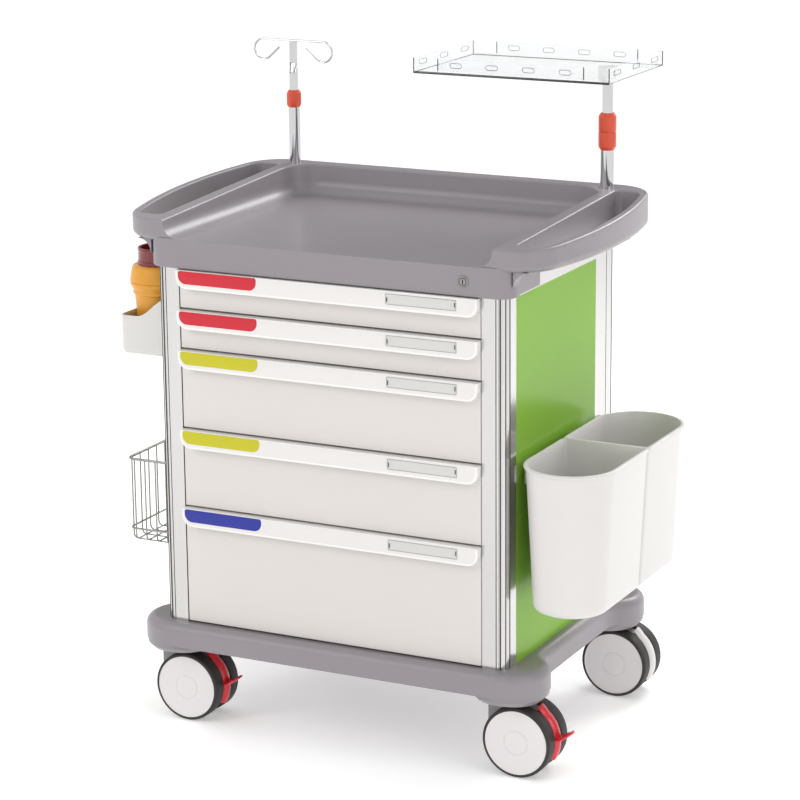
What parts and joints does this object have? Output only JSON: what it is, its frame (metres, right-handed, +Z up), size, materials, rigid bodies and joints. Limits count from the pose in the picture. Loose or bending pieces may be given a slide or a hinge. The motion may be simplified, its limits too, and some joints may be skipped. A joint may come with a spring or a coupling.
{
  "type": "crash cart",
  "caption": "Hospital emergency trolley with drawers, moulded worktop with side grips, pole, clear shelf, bins, sharps station and casters.",
  "frame": {"origin": "on the floor, under the middle of the overall box", "axes": "+X to the user's right when facing the drawers, +Y from the drawer fronts to the back, +Z up"},
  "size_m": [0.957, 0.56, 1.17],
  "materials": {
    "grey_moulding": "fine moulded texture",
    "aluminium": "satin anodised",
    "green_panel": "glossy sheet",
    "white_panel": "sheet",
    "drawer_white": "smooth moulded",
    "handle_white": "smooth moulded",
    "drawer_tray": "moulded",
    "chrome": "polished",
    "orange_knob": "moulded",
    "clear_acrylic": "polished clear acrylic",
    "bin_grey": "moulded",
    "container_yellow": "translucent moulded",
    "lid_red": "moulded",
    "tyre_black": "rubber tread on a nylon hub",
    "caster_grey": "moulded nylon",
    "pedal_red": "moulded nylon",
    "disc_white": "moulded nylon"
  },
  "bodies": {
    "frame": {"base_platform": "grey_moulding", "front_posts": "aluminium", "rear_posts": "aluminium", "side_panel_right": "green_panel", "side_panel_left": "green_panel", "top_rails": "aluminium", "rear_panel": "white_panel", "worktop": "grey_moulding", "lock_barrel": "chrome", "drawer_channels": "aluminium", "iv_socket": "chrome", "shelf_socket": "chrome", "shelf_fixed_collar": "orange_knob", "bin_rail": "aluminium", "sharps_holder": "bin_grey", "wire_basket": "chrome", "basket_hanger": "aluminium"},
    "lock_plug": {"lock_plug": "chrome"},
    "drawer_1": {"drawer_1_front": "drawer_white", "drawer_1_handle": "handle_white", "drawer_1_box": "drawer_tray"},
    "drawer_2": {"drawer_2_front": "drawer_white", "drawer_2_handle": "handle_white", "drawer_2_box": "drawer_tray"},
    "drawer_3": {"drawer_3_front": "drawer_white", "drawer_3_handle": "handle_white", "drawer_3_box": "drawer_tray"},
    "drawer_4": {"drawer_4_front": "drawer_white", "drawer_4_handle": "handle_white", "drawer_4_box": "drawer_tray"},
    "drawer_5": {"drawer_5_front": "drawer_white", "drawer_5_handle": "handle_white", "drawer_5_box": "drawer_tray"},
    "caster_front_left": {"caster_front_left_housing": "caster_grey"},
    "caster_front_left_outer_wheel": {"caster_front_left_outer_wheel": "tyre_black"},
    "caster_front_left_inner_wheel": {"caster_front_left_inner_wheel": "tyre_black"},
    "caster_front_left_brake_pedal": {"caster_front_left_brake_pedal": "pedal_red"},
    "caster_front_right": {"caster_front_right_housing": "caster_grey"},
    "caster_front_right_outer_wheel": {"caster_front_right_outer_wheel": "tyre_black"},
    "caster_front_right_inner_wheel": {"caster_front_right_inner_wheel": "tyre_black"},
    "caster_front_right_brake_pedal": {"caster_front_right_brake_pedal": "pedal_red"},
    "caster_rear_left": {"caster_rear_left_housing": "caster_grey", "caster_rear_left_cover": "disc_white"},
    "caster_rear_left_outer_wheel": {"caster_rear_left_outer_wheel": "tyre_black"},
    "caster_rear_left_inner_wheel": {"caster_rear_left_inner_wheel": "tyre_black"},
    "caster_rear_right": {"caster_rear_right_housing": "caster_grey", "caster_rear_right_cover": "disc_white"},
    "caster_rear_right_outer_wheel": {"caster_rear_right_outer_wheel": "tyre_black"},
    "caster_rear_right_inner_wheel": {"caster_rear_right_inner_wheel": "tyre_black"},
    "iv_knob": {"iv_knob": "orange_knob"},
    "iv_tube": {"iv_tube": "chrome"},
    "iv_hook": {"iv_hook": "chrome"},
    "shelf_turning_collar": {"shelf_turning_collar": "orange_knob"},
    "shelf_mast": {"shelf_mast": "chrome"},
    "monitor_shelf": {"shelf_boss": "handle_white", "clear_shelf": "clear_acrylic"},
    "waste_bin_front": {"waste_bin_front": "bin_grey"},
    "waste_bin_rear": {"waste_bin_rear": "bin_grey"},
    "sharps_container": {"sharps_container": "container_yellow"},
    "sharps_lid": {"sharps_lid": "lid_red"}
  },
  "joints": [
    {"name": "lock_turn", "type": "hinge", "parent": "frame", "child": "lock_plug", "pos_m": [0.2315, -0.255, 0.8547], "axis": [0, -1, 0], "range_deg": [0, 90]},
    {"name": "drawer_1_slide", "type": "slide", "parent": "frame", "child": "drawer_1", "axis": [0, -1, 0], "range_m": [0, 0.36]},
    {"name": "drawer_2_slide", "type": "slide", "parent": "frame", "child": "drawer_2", "axis": [0, -1, 0], "range_m": [0, 0.36]},
    {"name": "drawer_3_slide", "type": "slide", "parent": "frame", "child": "drawer_3", "axis": [0, -1, 0], "range_m": [0, 0.36]},
    {"name": "drawer_4_slide", "type": "slide", "parent": "frame", "child": "drawer_4", "axis": [0, -1, 0], "range_m": [0, 0.36]},
    {"name": "drawer_5_slide", "type": "slide", "parent": "frame", "child": "drawer_5", "axis": [0, -1, 0], "range_m": [0, 0.36]},
    {"name": "caster_front_left_swivel", "type": "hinge", "parent": "frame", "child": "caster_front_left", "pos_m": [-0.3465, -0.203, 0.135], "axis": [0, 0, 1], "continuous": true},
    {"name": "caster_front_left_outer_wheel_spin", "type": "hinge", "parent": "caster_front_left", "child": "caster_front_left_outer_wheel", "pos_m": [-0.3265, -0.203, 0.0625], "axis": [0, 1, 0], "continuous": true},
    {"name": "caster_front_left_inner_wheel_spin", "type": "hinge", "parent": "caster_front_left", "child": "caster_front_left_inner_wheel", "pos_m": [-0.3265, -0.203, 0.0625], "axis": [0, 1, 0], "continuous": true},
    {"name": "caster_front_left_brake", "type": "hinge", "parent": "caster_front_left", "child": "caster_front_left_brake_pedal", "pos_m": [-0.3265, -0.203, 0.0625], "axis": [0, 1, 0], "range_deg": [0, 12]},
    {"name": "caster_front_right_swivel", "type": "hinge", "parent": "frame", "child": "caster_front_right", "pos_m": [0.2955, -0.203, 0.135], "axis": [0, 0, 1], "continuous": true},
    {"name": "caster_front_right_outer_wheel_spin", "type": "hinge", "parent": "caster_front_right", "child": "caster_front_right_outer_wheel", "pos_m": [0.3155, -0.203, 0.0625], "axis": [0, 1, 0], "continuous": true},
    {"name": "caster_front_right_inner_wheel_spin", "type": "hinge", "parent": "caster_front_right", "child": "caster_front_right_inner_wheel", "pos_m": [0.3155, -0.203, 0.0625], "axis": [0, 1, 0], "continuous": true},
    {"name": "caster_front_right_brake", "type": "hinge", "parent": "caster_front_right", "child": "caster_front_right_brake_pedal", "pos_m": [0.3155, -0.203, 0.0625], "axis": [0, 1, 0], "range_deg": [0, 12]},
    {"name": "caster_rear_left_swivel", "type": "hinge", "parent": "frame", "child": "caster_rear_left", "pos_m": [-0.3465, 0.229, 0.135], "axis": [0, 0, 1], "continuous": true},
    {"name": "caster_rear_left_outer_wheel_spin", "type": "hinge", "parent": "caster_rear_left", "child": "caster_rear_left_outer_wheel", "pos_m": [-0.3265, 0.229, 0.0625], "axis": [0, 1, 0], "continuous": true},
    {"name": "caster_rear_left_inner_wheel_spin", "type": "hinge", "parent": "caster_rear_left", "child": "caster_rear_left_inner_wheel", "pos_m": [-0.3265, 0.229, 0.0625], "axis": [0, 1, 0], "continuous": true},
    {"name": "caster_rear_right_swivel", "type": "hinge", "parent": "frame", "child": "caster_rear_right", "pos_m": [0.2955, 0.229, 0.135], "axis": [0, 0, 1], "continuous": true},
    {"name": "caster_rear_right_outer_wheel_spin", "type": "hinge", "parent": "caster_rear_right", "child": "caster_rear_right_outer_wheel", "pos_m": [0.3155, 0.229, 0.0625], "axis": [0, 1, 0], "continuous": true},
    {"name": "caster_rear_right_inner_wheel_spin", "type": "hinge", "parent": "caster_rear_right", "child": "caster_rear_right_inner_wheel", "pos_m": [0.3155, 0.229, 0.0625], "axis": [0, 1, 0], "continuous": true},
    {"name": "iv_knob_twist", "type": "hinge", "parent": "frame", "child": "iv_knob", "pos_m": [-0.3355, 0.214, 1.04], "axis": [0, 0, 1], "range_deg": [0, 90]},
    {"name": "iv_height", "type": "slide", "parent": "frame", "child": "iv_tube", "axis": [0, 0, 1], "range_m": [-0.02, 0.12]},
    {"name": "iv_turn", "type": "hinge", "parent": "iv_tube", "child": "iv_hook", "pos_m": [-0.3355, 0.214, 1.1], "axis": [0, 0, 1], "continuous": true},
    {"name": "shelf_collar_twist", "type": "hinge", "parent": "frame", "child": "shelf_turning_collar", "pos_m": [0.2845, 0.214, 1.032], "axis": [0, 0, 1], "range_deg": [0, 90]},
    {"name": "shelf_lift", "type": "slide", "parent": "frame", "child": "shelf_mast", "axis": [0, 0, 1], "range_m": [-0.03, 0.1]},
    {"name": "shelf_turn", "type": "hinge", "parent": "shelf_mast", "child": "monitor_shelf", "pos_m": [0.2845, 0.214, 1.145], "axis": [0, 0, 1], "continuous": true},
    {"name": "waste_bin_front_lift", "type": "slide", "parent": "frame", "child": "waste_bin_front", "axis": [0, 0, 1], "range_m": [0, 0.12]},
    {"name": "waste_bin_rear_lift", "type": "slide", "parent": "frame", "child": "waste_bin_rear", "axis": [0, 0, 1], "range_m": [0, 0.12]},
    {"name": "sharps_container_lift", "type": "slide", "parent": "frame", "child": "sharps_container", "axis": [0, 0, 1], "range_m": [0, 0.032]},
    {"name": "sharps_lid_twist", "type": "hinge", "parent": "sharps_container", "child": "sharps_lid", "pos_m": [-0.4255, -0.127, 0.803], "axis": [0, 0, 1], "range_deg": [0, 90]}
  ]
}
